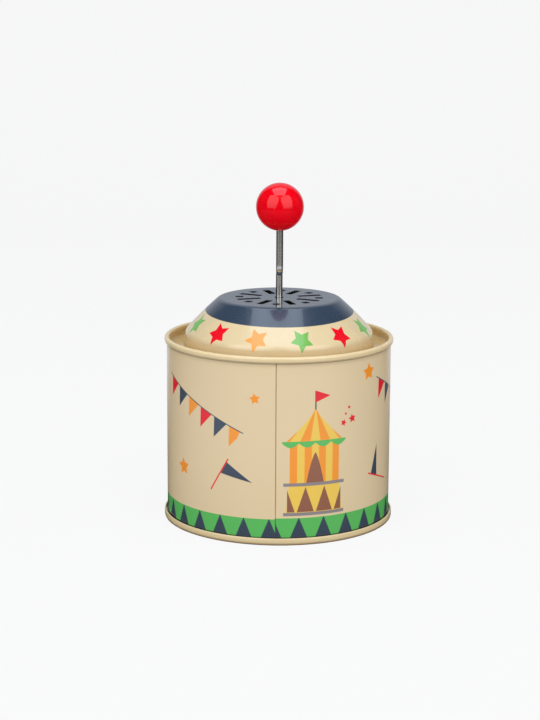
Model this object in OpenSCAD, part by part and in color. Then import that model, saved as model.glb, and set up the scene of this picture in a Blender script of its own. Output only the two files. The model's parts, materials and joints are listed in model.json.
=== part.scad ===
// Tin music box turned by hand: a round printed tin, a domed lid with sound
// slots, a wire crank with a ball on top, and a comb movement hung in the lid.
// Millimetres, +Z up, origin at the centre of the ring that the tin stands on.

/* [Tin] */
// Outer diameter of the printed wall
tin_d = 98; // [86:1:120]
// Height of the tin from the table to the top of the rim bead
tin_h = 80.5; // [60:0.5:110]
// Thickness of the tinplate
sheet_t = 0.4; // [0.3:0.05:0.5]
// How far the rim bead stands out past the wall
rim_proud = 1.0; // [0.6:0.1:1.6]
// Width of the rim bead
rim_w = 2.2; // [1.8:0.1:3]
// Height of the rim bead
rim_h = 2.7; // [2.4:0.1:4]
// How far the bottom seam stands out past the wall
seam_proud = 1.3; // [1:0.1:2]
// Height of the bottom seam
seam_h = 3.0; // [2.2:0.1:4]
// Height of the recessed bottom panel above the table
base_recess = 4.2; // [3.4:0.1:8]
// Width of the folded lap behind the upright seam
lap_w = 5; // [3:0.5:9]
// Depth of the folded lap
lap_t = 0.8; // [0.5:0.1:1.2]
// Compass angle of the upright seam
lap_angle = -91.2; // [-180:0.1:180]

/* [Dome lid] */
// Width of the trough between rim and dome
trough_w = 7.2; // [4:0.1:10]
// Depth of the trough below the top of the rim bead
trough_depth = 4.5; // [3.6:0.1:8]
// Height of the dome's upright wall, to its sharp corner
dome_wall_h = 7.1; // [5:0.1:12]
// Slope of the cone above the wall, in degrees
dome_slope = 42.8; // [36:0.1:48]
// Diameter of the flat top, to its sharp corner
plate_d = 51.8; // [50:0.1:60]
// Rounding where the cone meets the flat top
plate_round = 7.4; // [4:0.1:9]
// Rounding of the dome's shoulder
shoulder_round = 3.0; // [1:0.1:4]
// Rounding at the bottom of the trough
trough_round = 0.8; // [0.4:0.1:1.2]
// Hole in the top for the crank
lid_hole_d = 4; // [3.8:0.1:5]
// Number of long sound slots
slots = 8; // [4:1:10]
// Width of the sound slots
slot_w = 3; // [1.6:0.1:3.4]
// Turn of the ring of slots about the crank, in degrees
slot_turn = -4; // [-20:0.5:20]
// Distance from the centre to the inner end of a long slot
slot_in = 8.7; // [7:0.1:11]
// Flat margin outside the slots
slot_edge = 4; // [3.6:0.1:6]
// Length of the short slots between the long ones
short_slot = 3.3; // [2.6:0.1:5]
// Corner radius of the slots
slot_corner = 0.5; // [0.2:0.1:0.7]

/* [Crank] */
// Diameter of the crank wire
wire_d = 3; // [2.4:0.1:3.6]
// Distance from the shaft to the upright under the ball
throw = 28; // [14:0.5:30]
// Height of the crank's arm above the lid, on the shaft's axis
arm_h = 13.9; // [9:0.1:20]
// Upward tilt of the arm, in degrees
arm_tilt = 2.5; // [0:0.5:10]
// Bend radius of the wire, on its centre line
bend_r = 3.4; // [2.6:0.1:5]
// Compass angle of the arm at rest
crank_angle = -89.8; // [-180:0.1:180]
// Diameter of the ball
ball_d = 20; // [16:0.1:26]
// Height of the ball's lowest point above the arm's outer end
ball_lift = 17.9; // [10:0.1:26]
// Depth of the blind hole in the ball
ball_bore = 14.5; // [10:0.1:15]
// Clearance of the wire in the ball, on the radius
ball_play = 0.06; // [0.03:0.01:0.1]
// How far the snap ring near the wire's end stands out
snap_proud = 0.3; // [0.2:0.05:0.4]
// Distance from the wire's end to the middle of its snap ring
snap_down = 3; // [2:0.1:5]

/* [Movement plate] */
// Distance from the lid's underside to the bedplate
post_l = 8; // [6.5:0.1:12]
// Diameter of the posts under the lid
post_d = 3.8; // [3.4:0.1:3.8]
// Angle of the two side posts from the barrel's direction, in degrees
post_angle = 62; // [58:1:70]
// Diameter of the studs, the same as the nuts' thread
stud_d = 2.5; // [2:0.1:3]
// Thickness of the nuts
nut_h = 2; // [1.6:0.1:2.4]
// Width of the nuts across their flats
nut_w = 5; // [4.4:0.1:5.5]
// Thickness of the bedplate
bed_t = 1.5; // [1.2:0.1:2.5]
// Margin of the bedplate round the posts
bed_edge = 3.8; // [3:0.1:4.5]
// Corner cut of the bedplate
bed_cut = 8; // [6:0.5:10]
// Diameter of the small screws' shanks
screw_d = 2; // [1.6:0.1:2.4]
// Diameter of the small screws' heads
screw_head_d = 3.8; // [3.2:0.1:4.2]
// Height of the small screws' heads
screw_head_h = 1.2; // [0.9:0.1:1.6]
// Depth that a screw reaches into what it holds
screw_grip = 3.6; // [2.5:0.1:4]

/* [Worm drive] */
// Module of the worm and its wheel
gear_m = 0.6; // [0.5:0.02:0.7]
// Number of teeth of the wheel
wheel_teeth = 20; // [16:1:22]
// Pitch radius of the worm
worm_pitch_r = 2.9; // [2.7:0.05:3.2]
// Length of the threaded part of the worm
worm_l = 11; // [9:0.5:14]
// Width of the wheel's teeth
wheel_w = 2.4; // [1.6:0.1:3]
// Play between worm thread and wheel teeth, along the worm
gear_play = 0.5; // [0.4:0.02:0.6]
// Wall of the bush in the bedplate
bush_wall = 1.1; // [0.8:0.1:1.4]
// Width of the flange of the bush
bush_flange = 1.2; // [0.8:0.1:1.5]
// Height of the flange of the bush
bush_flange_h = 0.8; // [0.5:0.1:1.2]
// Thickness of the washer on the shaft
washer_t = 0.5; // [0.3:0.1:0.8]
// Thickness of the clip on the shaft
clip_t = 0.6; // [0.4:0.05:0.8]
// Depth of the clip's groove
groove_depth = 0.3; // [0.2:0.05:0.4]
// Thickness of the bridge under the worm
bridge_t = 1.5; // [1:0.1:2]
// Width of the bridge
bridge_w = 8.8; // [8:0.1:9.6]
// Distance of the bridge's screws from its edges
bridge_edge = 2.1; // [1.9:0.1:2.1]

/* [Barrel and comb] */
// Diameter of the barrel
barrel_d = 13; // [12:0.1:13.4]
// Wall of the barrel
barrel_wall = 0.4; // [0.3:0.05:0.6]
// Height of the pins on the barrel
pin_h = 0.8; // [0.5:0.05:1]
// Diameter of the pins
pin_d = 0.5; // [0.3:0.05:0.6]
// Pins for each tooth of the comb
pins_per_tooth = 3; // [1:1:4]
// Distance between the comb's tips and the pins
pluck_gap = 0.12; // [0.1:0.01:0.2]
// Number of teeth of the comb
comb_teeth = 18; // [10:1:18]
// Distance from tooth to tooth
comb_pitch = 0.95; // [0.8:0.01:1]
// Gap between two teeth
comb_slit = 0.25; // [0.2:0.01:0.3]
// Thickness of the comb
comb_t = 0.9; // [0.7:0.05:1.2]
// Length of the comb from tips to back edge
comb_l = 15.5; // [14:0.1:16]
// Length of the comb's back edge that is screwed down
comb_back = 5; // [4.6:0.1:5.4]
// How much longer the deepest slit is than the shallowest
comb_fan = 2.2; // [1:0.1:3]
// Number of teeth that carry a lead weight
lead_teeth = 8; // [4:1:10]
// Diameter of the barrel's arbor
arbor_d = 2.5; // [2:0.1:3]
// Thickness of the discs in the barrel's ends
disc_t = 1.2; // [0.8:0.1:2]
// Thickness of the arbor's two brackets
bracket_t = 4.4; // [4:0.1:5]
// Width of the brackets
bracket_w = 8.4; // [7:0.1:8.6]
// Depth of the brackets below the arbor
bracket_below = 3.4; // [2.6:0.1:4]
// Distance from the shaft's axis to the barrel's near end
barrel_start = 4.3; // [4.2:0.1:6]

/* [Hidden] */
$fn = 96;

fit = 0.05;           // running fit of a shaft in its bore, on the radius
press = 0.01;         // seat of a pressed or screwed piece, on the radius
play = 0.15;          // end play of what turns
clear = 0.6;          // room between what turns and what stands still
slim = 0.01;          // how far a cut runs past a face

// Tin, from the table up
tin_r = tin_d / 2;
wall_in_r = tin_r - sheet_t;
rim_in_r = wall_in_r - sheet_t - press;
rim_mid_r = tin_r + rim_proud - rim_w / 2;
rim_low_z = tin_h - rim_h;
wall_top_z = tin_h - rim_h / 2;
seam_out_r = tin_r + seam_proud;
seam_round = 0.7;
hook_z = 1;           // height of the wall's turned-out lower edge
hook_w = seam_proud * 0.55;
trough_z = tin_h - trough_depth;

// Dome of the lid
shoulder_r = rim_in_r - trough_w;
shoulder_z = trough_z + dome_wall_h;
plate_r = plate_d / 2;
plate_z = shoulder_z + (shoulder_r - plate_r) * tan(dome_slope);
flat_r = plate_r - plate_round * tan(dome_slope / 2);
shoulder_turn = 90 - dome_slope;
round_z = shoulder_z - shoulder_round * tan(shoulder_turn / 2);
ceiling_z = plate_z - sheet_t;
slot_out = flat_r - slot_edge;

// Crank
wire_r = wire_d / 2;
arm_z = plate_z + arm_h;
bend_turn = 90 - arm_tilt;
bend_swell = 0.02;    // the wire swells this much in its bends
bend_lap = 0.2;       // how far a straight stretch runs into a bend
bend_reach = bend_r * tan(bend_turn / 2);
arm_end_z = arm_z + throw * tan(arm_tilt);
arm_l = throw / cos(arm_tilt) - 2 * bend_reach;
ball_r = ball_d / 2;
ball_z = arm_end_z + ball_lift + ball_r;
wire_top_z = ball_z - ball_r + ball_bore - 0.3;
snap_z = wire_top_z - snap_down;
snap_h = 1;

// Bedplate, hung from the lid
bed_top_z = ceiling_z - post_l;
bed_z = bed_top_z - bed_t;
post_r = post_d / 2;
post_reach = flat_r - post_r - play;
stud_r = stud_d / 2;
stud_low_z = bed_z - nut_h - 0.5;
nut_z = bed_z - nut_h;
post_x = post_reach * cos(post_angle);
post_y = post_reach * sin(post_angle);
POSTS = [[post_x, post_y], [post_x, -post_y], [-post_reach, 0]];

// Worm drive: the shaft stands on the Z axis, the arbor lies along X behind it
wheel_pitch_r = gear_m * wheel_teeth / 2;
gear_add = gear_m;
gear_ded = 1.22 * gear_m;
worm_lead = PI * gear_m;
tooth_mid = (worm_lead - gear_play) / 2;     // thickness on the pitch line
flank = tan(20);
arbor_y = worm_pitch_r + wheel_pitch_r;
barrel_r = barrel_d / 2;
pin_tip_r = barrel_r + pin_h;
turn_r = max(pin_tip_r, wheel_pitch_r + gear_add);
arbor_z = stud_low_z - clear - turn_r;
worm_root_r = worm_pitch_r - gear_ded;
hub_r = worm_root_r + 0.3;
worm_low_z = arbor_z - worm_l / 2;
worm_top_z = arbor_z + worm_l / 2;
bush_r = wire_r + fit + bush_wall;
flange_r = bush_r + bush_flange;
flange_z = bed_top_z + bush_flange_h;
washer_z = flange_z + play;
clip_z = washer_z + washer_t;
groove_r = wire_r - groove_depth;
bridge_top_z = worm_low_z - clear;
wire_low_z = bridge_top_z - bridge_t - 0.8;

// Barrel and comb
arbor_r = arbor_d / 2;
comb_w = comb_teeth * comb_pitch;
comb_x = barrel_start + 0.8;
barrel_l = comb_w + 1.6;
barrel_end = barrel_start + barrel_l;
left_x = -wheel_w / 2 - clear - bracket_t;
right_x = barrel_end + clear;
comb_tip_y = arbor_y - pin_tip_r - pluck_gap;
comb_back_y = comb_tip_y - comb_l;
comb_z = arbor_z - comb_t / 2;
block_z = comb_z + comb_t;
screw_y = comb_back_y + comb_back / 2;
COMB_SCREWS = [for (k = [0 : 2]) comb_x + comb_w * (k + 0.5) / 3];
BLOCK_SCREWS = [for (k = [0 : 1]) comb_x + comb_w * (k + 1) / 3];
lead_w = comb_pitch - comb_slit;

// Outline of the bedplate
bed_right = max(right_x + bracket_t + 0.8, post_x + bed_edge);
bed_left = -9;
bed_half = post_y + bed_edge;

// Bridge that carries the shaft's lower end, beside the left bracket
bridge_leg_x = left_x - 0.6 - bridge_t;
bridge_y = -bridge_w / 2 - 0.5;
foot_l = 6;
BRIDGE_SCREWS = [for (s = [bridge_edge, bridge_w - bridge_edge])
    [bridge_leg_x - foot_l / 2, bridge_y + s]];

// Points of an arc round c, from angle a0 to angle a1
function arc(c, r, a0, a1, n = 10) =
    [for (i = [0 : n]) let (a = a0 + (a1 - a0) * i / n) c + r * [cos(a), sin(a)]];

function backwards(list) = [for (i = [len(list) - 1 : -1 : 0]) list[i]];

// Line of the lid's sheet from the shaft hole to the rim, sunk by "in" below its outer face
function lid_line(in) = concat(
    [[lid_hole_d / 2, plate_z - in]],
    arc([flat_r, plate_z - plate_round], plate_round - in, 90, shoulder_turn, 12),
    arc([shoulder_r - shoulder_round, round_z], shoulder_round - in, shoulder_turn, 0, 8),
    arc([shoulder_r + trough_round, trough_z + trough_round], trough_round + in, 180, 270, 6),
    arc([rim_in_r - trough_round, trough_z + trough_round], trough_round + in, 270, 360, 6),
    [[rim_in_r + in, tin_h - rim_w / 2]]);

// Line of the bottom panel and its upright wall, raised by "in" above its outer face
function base_line(in) = concat(
    [[0, base_recess - sheet_t + in]],
    arc([rim_in_r - 1, base_recess - sheet_t - 1], 1 + in, 90, 0, 6),
    [[rim_in_r + in, seam_round]]);

module rounded_bar(w, h, r) {
    translate([r, 0]) square([w - 2 * r, h]);
    translate([0, r]) square([w, h - 2 * r]);
    for (x = [r, w - r], y = [r, h - r]) translate([x, y]) circle(r, $fn = 24);
}

// Section of the curled rim, round above and below
module rim_bead() {
    half = rim_w / 2;
    translate([rim_mid_r - half, rim_low_z + half]) square([rim_w, rim_h - rim_w]);
    for (z = [rim_low_z + half, tin_h - half]) translate([rim_mid_r, z]) circle(half, $fn = 48);
}

module ring(r_out, r_in, h) {
    difference() {
        cylinder(r = r_out, h = h);
        translate([0, 0, -slim]) cylinder(r = r_in, h = h + 2 * slim);
    }
}

module slot(from, to, deep) linear_extrude(deep)
    translate([from, -slot_w / 2]) rounded_bar(to - from, slot_w, slot_corner);

// Slotted cheese-head screw with its head above z = 0
module screw(l) {
    difference() {
        cylinder(d = screw_head_d, h = screw_head_h, $fn = 32);
        translate([-screw_head_d / 2 - slim, -0.25, screw_head_h / 2])
            cube([screw_head_d + 2 * slim, 0.5, screw_head_h]);
    }
    translate([0, 0, -l]) cylinder(d = screw_d, h = l + slim, $fn = 32);
}

module screw_bore(l) {
    translate([0, 0, -l - 0.4]) cylinder(r = screw_d / 2 + press, h = l + 0.4 + slim, $fn = 32);
}

// Rolled wall with its turned-out lower edge and the folded lap of its upright seam
module body_wall() color("wheat") {
    difference() {
        rotate_extrude() {
            translate([wall_in_r, hook_z]) square([sheet_t, wall_top_z - hook_z]);
            translate([wall_in_r, hook_z]) square([sheet_t + hook_w, sheet_t]);
        }
        rotate(lap_angle) translate([tin_r - sheet_t * 0.3, -0.15, seam_h])
            cube([sheet_t, 0.3, rim_low_z - seam_h]);
    }
    lap_turn = lap_w / wall_in_r * 180 / PI;
    rotate(lap_angle) rotate_extrude(angle = lap_turn)
        translate([wall_in_r - lap_t, base_recess + 0.5])
            square([lap_t + sheet_t / 4, trough_z - sheet_t - base_recess - 1]);
}

// Bottom panel, folded round the wall's lower edge as a double seam
module base_plate() color("gainsboro") {
    rotate_extrude() difference() {
        union() {
            translate([rim_in_r, 0]) rounded_bar(seam_out_r - rim_in_r, seam_h, seam_round);
            polygon(concat(base_line(0), backwards(base_line(sheet_t))));
        }
        translate([wall_in_r, hook_z]) square([sheet_t, base_recess + seam_h]);
        translate([wall_in_r, hook_z]) square([sheet_t + hook_w, sheet_t]);
    }
}

// One stamped sheet: slotted flat top, cone, upright wall, trough and curled rim
module top_dome() color("midnightblue") difference() {
    union() {
        rotate_extrude() polygon(concat(lid_line(0), backwards(lid_line(sheet_t))));
        rotate_extrude() difference() {
            rim_bead();
            translate([wall_in_r, 0]) square([sheet_t, wall_top_z]);
        }
    }
    for (k = [0 : slots - 1]) translate([0, 0, ceiling_z - 1]) rotate(slot_turn) {
        rotate((k + 0.5) * 360 / slots) slot(slot_in, slot_out, sheet_t + 2);
        rotate(k * 360 / slots) slot(slot_out - short_slot, slot_out, sheet_t + 2);
    }
}

// Posts under the lid, each with a threaded stud
module lid_posts() color("silver") for (p = POSTS) translate([p.x, p.y, 0]) {
    translate([0, 0, bed_top_z]) cylinder(r = post_r, h = post_l);
    translate([0, 0, stud_low_z]) cylinder(r = stud_r, h = bed_top_z - stud_low_z + slim);
}

module post_nuts() color("silver") for (p = POSTS) translate([p.x, p.y, nut_z]) difference() {
    cylinder(d = nut_w / cos(30), h = nut_h, $fn = 6);
    translate([0, 0, -slim]) cylinder(r = stud_r + press, h = nut_h + 2 * slim);
}

// Plate that carries the movement, with an ear for the third post
module bedplate() color("lightgray") difference() {
    translate([0, 0, bed_z]) linear_extrude(bed_t) {
        polygon([[bed_left, -bed_half], [bed_right - bed_cut, -bed_half],
                 [bed_right, -bed_half + bed_cut], [bed_right, bed_half - bed_cut],
                 [bed_right - bed_cut, bed_half], [bed_left, bed_half]]);
        translate([-post_reach, -bed_edge]) square([post_reach, 2 * bed_edge]);
        translate([-post_reach, 0]) circle(bed_edge);
    }
    for (p = POSTS) translate([p.x, p.y, bed_z - slim])
        cylinder(r = stud_r + fit, h = bed_t + 2 * slim);
    translate([0, 0, bed_z - slim]) cylinder(r = bush_r + press, h = bed_t + 2 * slim);
    for (p = concat(BRIDGE_SCREWS, [for (x = BLOCK_SCREWS) [x, screw_y]],
                    [for (x = [left_x, right_x]) [x + bracket_t / 2, arbor_y]]))
        translate([p.x, p.y, bed_z - slim])
            cylinder(r = screw_d / 2 + fit, h = bed_t + 2 * slim, $fn = 32);
}

module crank_bush() color("goldenrod") translate([0, 0, bed_z]) difference() {
    union() {
        cylinder(r = bush_r, h = flange_z - bed_z);
        translate([0, 0, bed_t]) cylinder(r = flange_r, h = bush_flange_h);
    }
    translate([0, 0, -slim]) cylinder(r = wire_r + fit, h = flange_z - bed_z + 2 * slim);
}

// Bend of the wire in the XZ plane round c, from angle a, a hair thicker than the wire
module wire_bend(c, a) {
    translate([c.x, 0, c.y]) rotate([90, 0, 0]) rotate(a) rotate_extrude(angle = bend_turn)
        translate([bend_r, 0]) circle(wire_r + bend_swell);
}

// One bent wire: shaft, arm, and the upright that the ball turns on
module crank_wire() color("silver") rotate(crank_angle) difference() {
    union() {
        translate([0, 0, wire_low_z])
            cylinder(r = wire_r, h = arm_z - bend_reach - wire_low_z + bend_lap);
        wire_bend([bend_r, arm_z - bend_reach], 180 - bend_turn);
        translate([0, 0, arm_z]) rotate([0, 90 - arm_tilt, 0])
            translate([0, 0, bend_reach - bend_lap]) cylinder(r = wire_r, h = arm_l + 2 * bend_lap);
        wire_bend([throw - bend_r, arm_end_z + bend_reach], -bend_turn);
        translate([throw, 0, arm_end_z + bend_reach - bend_lap])
            cylinder(r = wire_r, h = wire_top_z - arm_end_z - bend_reach + bend_lap);
        translate([throw, 0, snap_z]) snap_ring(wire_r, snap_proud);
    }
    translate([0, 0, clip_z]) ring(wire_r + 1, groove_r, clip_t);
}

// Two cones base to base round the wire
module snap_ring(r, proud) {
    translate([0, 0, -snap_h / 2]) cylinder(r1 = r, r2 = r + proud, h = snap_h / 2);
    cylinder(r1 = r + proud, r2 = r, h = snap_h / 2);
}

module crank_washer() color("silver") translate([0, 0, washer_z])
    ring(flange_r - 0.3, wire_r + fit, washer_t);

// Open spring clip in the shaft's groove
module crank_clip() color("dimgray") translate([0, 0, clip_z]) difference() {
    ring(flange_r - 0.6, groove_r, clip_t);
    translate([0, -groove_r * 0.8, -slim]) cube([flange_r, groove_r * 1.6, clip_t + 2 * slim]);
}

// Ball with a blind hole and a groove that the wire's snap ring sits in
module ball_knob() color("red") rotate(crank_angle) translate([throw, 0, 0]) difference() {
    translate([0, 0, ball_z]) sphere(ball_r);
    translate([0, 0, ball_z - ball_r - 1]) cylinder(r = wire_r + ball_play, h = ball_bore + 1);
    translate([0, 0, snap_z - snap_h / 2 - play])
        cylinder(r = wire_r + snap_proud + ball_play, h = snap_h + 2 * play);
}

// Thread of the worm: a trapezoid carried up a right-hand helix
function worm_ring(a) = let (
        z = arbor_z + worm_lead / 2 + worm_lead * (a - 90) / 360,
        root_half = tooth_mid / 2 + gear_ded * flank,
        tip_half = tooth_mid / 2 - gear_add * flank,
        low_r = worm_root_r - 0.2,
        top_r = worm_pitch_r + gear_add)
    [for (q = [[low_r, -root_half], [top_r, -tip_half], [top_r, tip_half], [low_r, root_half]])
        [q[0] * cos(a), q[0] * sin(a), z + q[1]]];

module worm_thread() {
    steps_per_turn = 20;
    turns = (worm_l - 1.4) / worm_lead - 1;
    rings = floor(turns * steps_per_turn);
    start = 90 - 180 * (turns + 1);
    points = [for (i = [0 : rings]) each worm_ring(start + i * 360 / steps_per_turn)];
    sides = [for (i = [0 : rings - 1], k = [0 : 3])
        [4 * i + k, 4 * i + (k + 1) % 4, 4 * i + 4 + (k + 1) % 4, 4 * i + 4 + k]];
    polyhedron(points, concat([[3, 2, 1, 0]], sides,
                              [[for (k = [0 : 3]) 4 * rings + k]]));
}

module drive_worm() color("goldenrod") difference() {
    union() {
        translate([0, 0, worm_low_z]) cylinder(r = worm_root_r, h = worm_l);
        translate([0, 0, worm_top_z]) cylinder(r = hub_r, h = bed_z - play - worm_top_z);
        worm_thread();
    }
    translate([0, 0, worm_low_z - slim])
        cylinder(r = wire_r + press, h = bed_z - worm_low_z + 2 * slim);
}

// Bracket under the worm, hung from the bedplate, with the shaft's lower bearing
module worm_bridge() color("lightgray") difference() {
    union() {
        translate([bridge_leg_x, bridge_y, bridge_top_z - bridge_t])
            cube([bridge_t, bridge_w, bed_z - bridge_top_z + bridge_t]);
        translate([bridge_leg_x - foot_l, bridge_y, bed_z - bridge_t])
            cube([foot_l + slim, bridge_w, bridge_t]);
        translate([bridge_leg_x, bridge_y, bridge_top_z - bridge_t])
            cube([-bridge_leg_x, bridge_w, bridge_t]);
        translate([0, 0, bridge_top_z - bridge_t]) cylinder(d = bridge_w, h = bridge_t);
    }
    translate([0, 0, bridge_top_z - bridge_t - slim])
        cylinder(r = wire_r + fit, h = bridge_t + 2 * slim);
    for (p = BRIDGE_SCREWS) translate([p.x, p.y, bed_z - bridge_t - slim])
        cylinder(r = screw_d / 2 + press, h = bridge_t + 2 * slim, $fn = 32);
}

module bridge_screws() color("silver")
    for (p = BRIDGE_SCREWS) translate([p.x, p.y, bed_top_z]) screw(bed_t + bridge_t + 0.6);

// Wheel on the arbor: straight teeth with one of them pointing at the worm
module worm_wheel() color("goldenrod") translate([0, arbor_y, arbor_z]) rotate([0, 90, 0])
    difference() {
        union() {
            translate([0, 0, -wheel_w / 2]) linear_extrude(wheel_w) polygon(wheel_outline());
            cylinder(r = wheel_pitch_r * 0.55, h = barrel_start - play);
        }
        translate([0, 0, -wheel_w]) cylinder(r = arbor_r + press, h = barrel_start + 2 * wheel_w);
    }

function wheel_outline() = let (
        root_r = wheel_pitch_r - gear_ded,
        tip_r = wheel_pitch_r + gear_add,
        root_half = (tooth_mid / 2 + gear_ded * flank) / root_r * 180 / PI,
        tip_half = (tooth_mid / 2 - gear_add * flank) / tip_r * 180 / PI)
    [for (k = [0 : wheel_teeth - 1], q = [[root_r, -root_half], [tip_r, -tip_half],
                                          [tip_r, tip_half], [root_r, root_half]])
        let (a = -90 + k * 360 / wheel_teeth + q[1]) q[0] * [cos(a), sin(a)]];

module along_arbor(x) translate([x, arbor_y, arbor_z]) rotate([0, 90, 0]) children();

module barrel_arbor() color("silver")
    along_arbor(left_x - 0.4) cylinder(r = arbor_r, h = right_x + bracket_t + 0.8 - left_x);

module barrel_discs() color("goldenrod")
    for (x = [barrel_start, barrel_end - disc_t]) along_arbor(x)
        ring(barrel_r - barrel_wall - press, arbor_r + press, disc_t);

// Thin tube with raised pins, a few for each tooth of the comb
module pinned_barrel() color("gold") {
    along_arbor(barrel_start) ring(barrel_r, barrel_r - barrel_wall, barrel_l);
    for (t = [0 : comb_teeth - 1], k = [0 : pins_per_tooth - 1])
        along_arbor(comb_x + (t + 0.5) * comb_pitch)
            rotate(t * 137.5 + k * 360 / pins_per_tooth + (t * (k + 2)) % 5 * 11)
                rotate([0, 90, 0]) translate([0, 0, barrel_r - barrel_wall / 2])
                    cylinder(d = pin_d, h = pin_h + barrel_wall / 2, $fn = 16);
}

// Upright block with the arbor's bearing near its lower end
module arbor_bracket(x) difference() {
    translate([x, arbor_y - bracket_w / 2, arbor_z - bracket_below])
        cube([bracket_t, bracket_w, bed_z - arbor_z + bracket_below]);
    along_arbor(x - slim) cylinder(r = arbor_r + fit, h = bracket_t + 2 * slim);
    translate([x + bracket_t / 2, arbor_y, bed_z]) screw_bore(screw_grip);
}

module left_bracket() color("lightgray") arbor_bracket(left_x);

module right_bracket() color("lightgray") arbor_bracket(right_x);

module bracket_screws() color("silver") for (x = [left_x, right_x])
    translate([x + bracket_t / 2, arbor_y, bed_top_z]) screw(bed_t + screw_grip);

// Block between bedplate and comb
module comb_block() color("lightgray") difference() {
    translate([comb_x, comb_back_y, block_z]) cube([comb_w, comb_back, bed_z - block_z]);
    for (x = BLOCK_SCREWS) translate([x, screw_y, bed_z]) screw_bore(screw_grip);
    for (x = COMB_SCREWS) translate([x, screw_y, block_z]) mirror([0, 0, 1]) screw_bore(screw_grip);
}

module block_screws() color("silver")
    for (x = BLOCK_SCREWS) translate([x, screw_y, bed_top_z]) screw(bed_t + screw_grip);

// Steel comb, its slits deeper toward the low notes
module comb() color("silver") difference() {
    translate([comb_x, comb_back_y, comb_z]) cube([comb_w, comb_l, comb_t]);
    for (t = [1 : comb_teeth - 1]) let (
            slit_l = comb_l - comb_back - comb_fan + comb_fan * t / comb_teeth)
        translate([comb_x + t * comb_pitch - comb_slit / 2, comb_tip_y - slit_l, comb_z - slim])
            cube([comb_slit, slit_l + slim, comb_t + 2 * slim]);
    for (x = COMB_SCREWS) translate([x, screw_y, comb_z - slim])
        cylinder(r = screw_d / 2 + fit, h = comb_t + 2 * slim, $fn = 32);
}

module comb_screws() color("silver") for (x = COMB_SCREWS)
    translate([x, screw_y, comb_z]) mirror([0, 0, 1]) screw(comb_t + screw_grip);

// Lead weights under the low teeth, heavier toward the last
module comb_leads() color("dimgray") for (t = [comb_teeth - lead_teeth : comb_teeth - 1])
    let (h = 0.8 + 1.4 * (t - comb_teeth + lead_teeth + 1) / lead_teeth)
        translate([comb_x + (t + 0.5) * comb_pitch - lead_w / 2, comb_tip_y - 4, comb_z - h])
            cube([lead_w, 3, h]);

body_wall();
base_plate();
top_dome();
lid_posts();
post_nuts();
bedplate();
crank_bush();
crank_wire();
crank_washer();
crank_clip();
ball_knob();
drive_worm();
worm_bridge();
bridge_screws();
worm_wheel();
barrel_arbor();
barrel_discs();
pinned_barrel();
left_bracket();
right_bracket();
bracket_screws();
comb_block();
block_screws();
comb();
comb_screws();
comb_leads();
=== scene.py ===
import json
import math

import bmesh
import bpy
import numpy as np
from mathutils import Matrix


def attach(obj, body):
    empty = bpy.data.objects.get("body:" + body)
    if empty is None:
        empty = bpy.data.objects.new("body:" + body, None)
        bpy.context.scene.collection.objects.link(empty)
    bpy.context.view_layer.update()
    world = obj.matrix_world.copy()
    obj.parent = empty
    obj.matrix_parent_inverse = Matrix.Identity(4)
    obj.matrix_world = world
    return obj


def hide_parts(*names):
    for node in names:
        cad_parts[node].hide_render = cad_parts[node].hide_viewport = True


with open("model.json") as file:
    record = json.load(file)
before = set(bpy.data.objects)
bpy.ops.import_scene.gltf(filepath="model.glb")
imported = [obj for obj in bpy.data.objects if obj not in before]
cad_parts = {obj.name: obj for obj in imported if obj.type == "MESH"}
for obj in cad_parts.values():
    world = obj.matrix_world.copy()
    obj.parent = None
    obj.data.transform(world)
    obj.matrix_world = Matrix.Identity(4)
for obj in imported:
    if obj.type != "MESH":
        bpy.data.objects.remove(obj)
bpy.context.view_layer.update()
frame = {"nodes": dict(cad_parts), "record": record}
nodes = frame["nodes"]
mm = 0.001
print("frame loaded")

# Sizes that several pieces share, in mm and degrees
tin = {
    "wallRadius": 49.0,
    "sheet": 0.4,
    "height": 80.5,
    "rimRadius": 50.0,
    "rimWidth": 2.2,
    "rimHeight": 2.7,
    "panelRadius": 48.19,  # outer face of the upright walls of lid and bottom panel
    "seamRadius": 50.3,
    "seamHeight": 3.0,
    "seamRound": 0.7,
    "seamTurn": -1.2,  # where the upright seam stands, to the right of the front
}
mmPerDegree = tin["wallRadius"] * math.pi / 180


# Linear colour of an 8-bit screen colour
def ink(red, green, blue):
    def straight(c):
        c /= 255
        return c / 12.92 if c <= 0.04045 else ((c + 0.055) / 1.055) ** 2.4
    return (straight(red), straight(green), straight(blue), 1.0)


class Value:  # an output of a node, on which Python's operators work
    def __init__(self, finish, socket):
        self.finish, self.socket = finish, socket

    def math(self, operation, *others):
        return self.finish.add("ShaderNodeMath", {"operation": operation}, [self, *others])

    def __add__(self, other):
        return self.math("ADD", other)

    def __sub__(self, other):
        return self.math("SUBTRACT", other)

    def __rsub__(self, other):
        return self.finish.add("ShaderNodeMath", {"operation": "SUBTRACT"}, [other, self])

    def __mul__(self, other):
        return self.math("MULTIPLY", other)

    def __truediv__(self, other):
        return self.math("DIVIDE", other)

    def __pow__(self, other):
        return self.math("POWER", other)

    def __abs__(self):
        return self.math("ABSOLUTE")

    __radd__ = __add__
    __rmul__ = __mul__

    def clamp(self):
        return self.finish.add("ShaderNodeMath", {"operation": "ADD", "use_clamp": True}, [self, 0.0])


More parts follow.
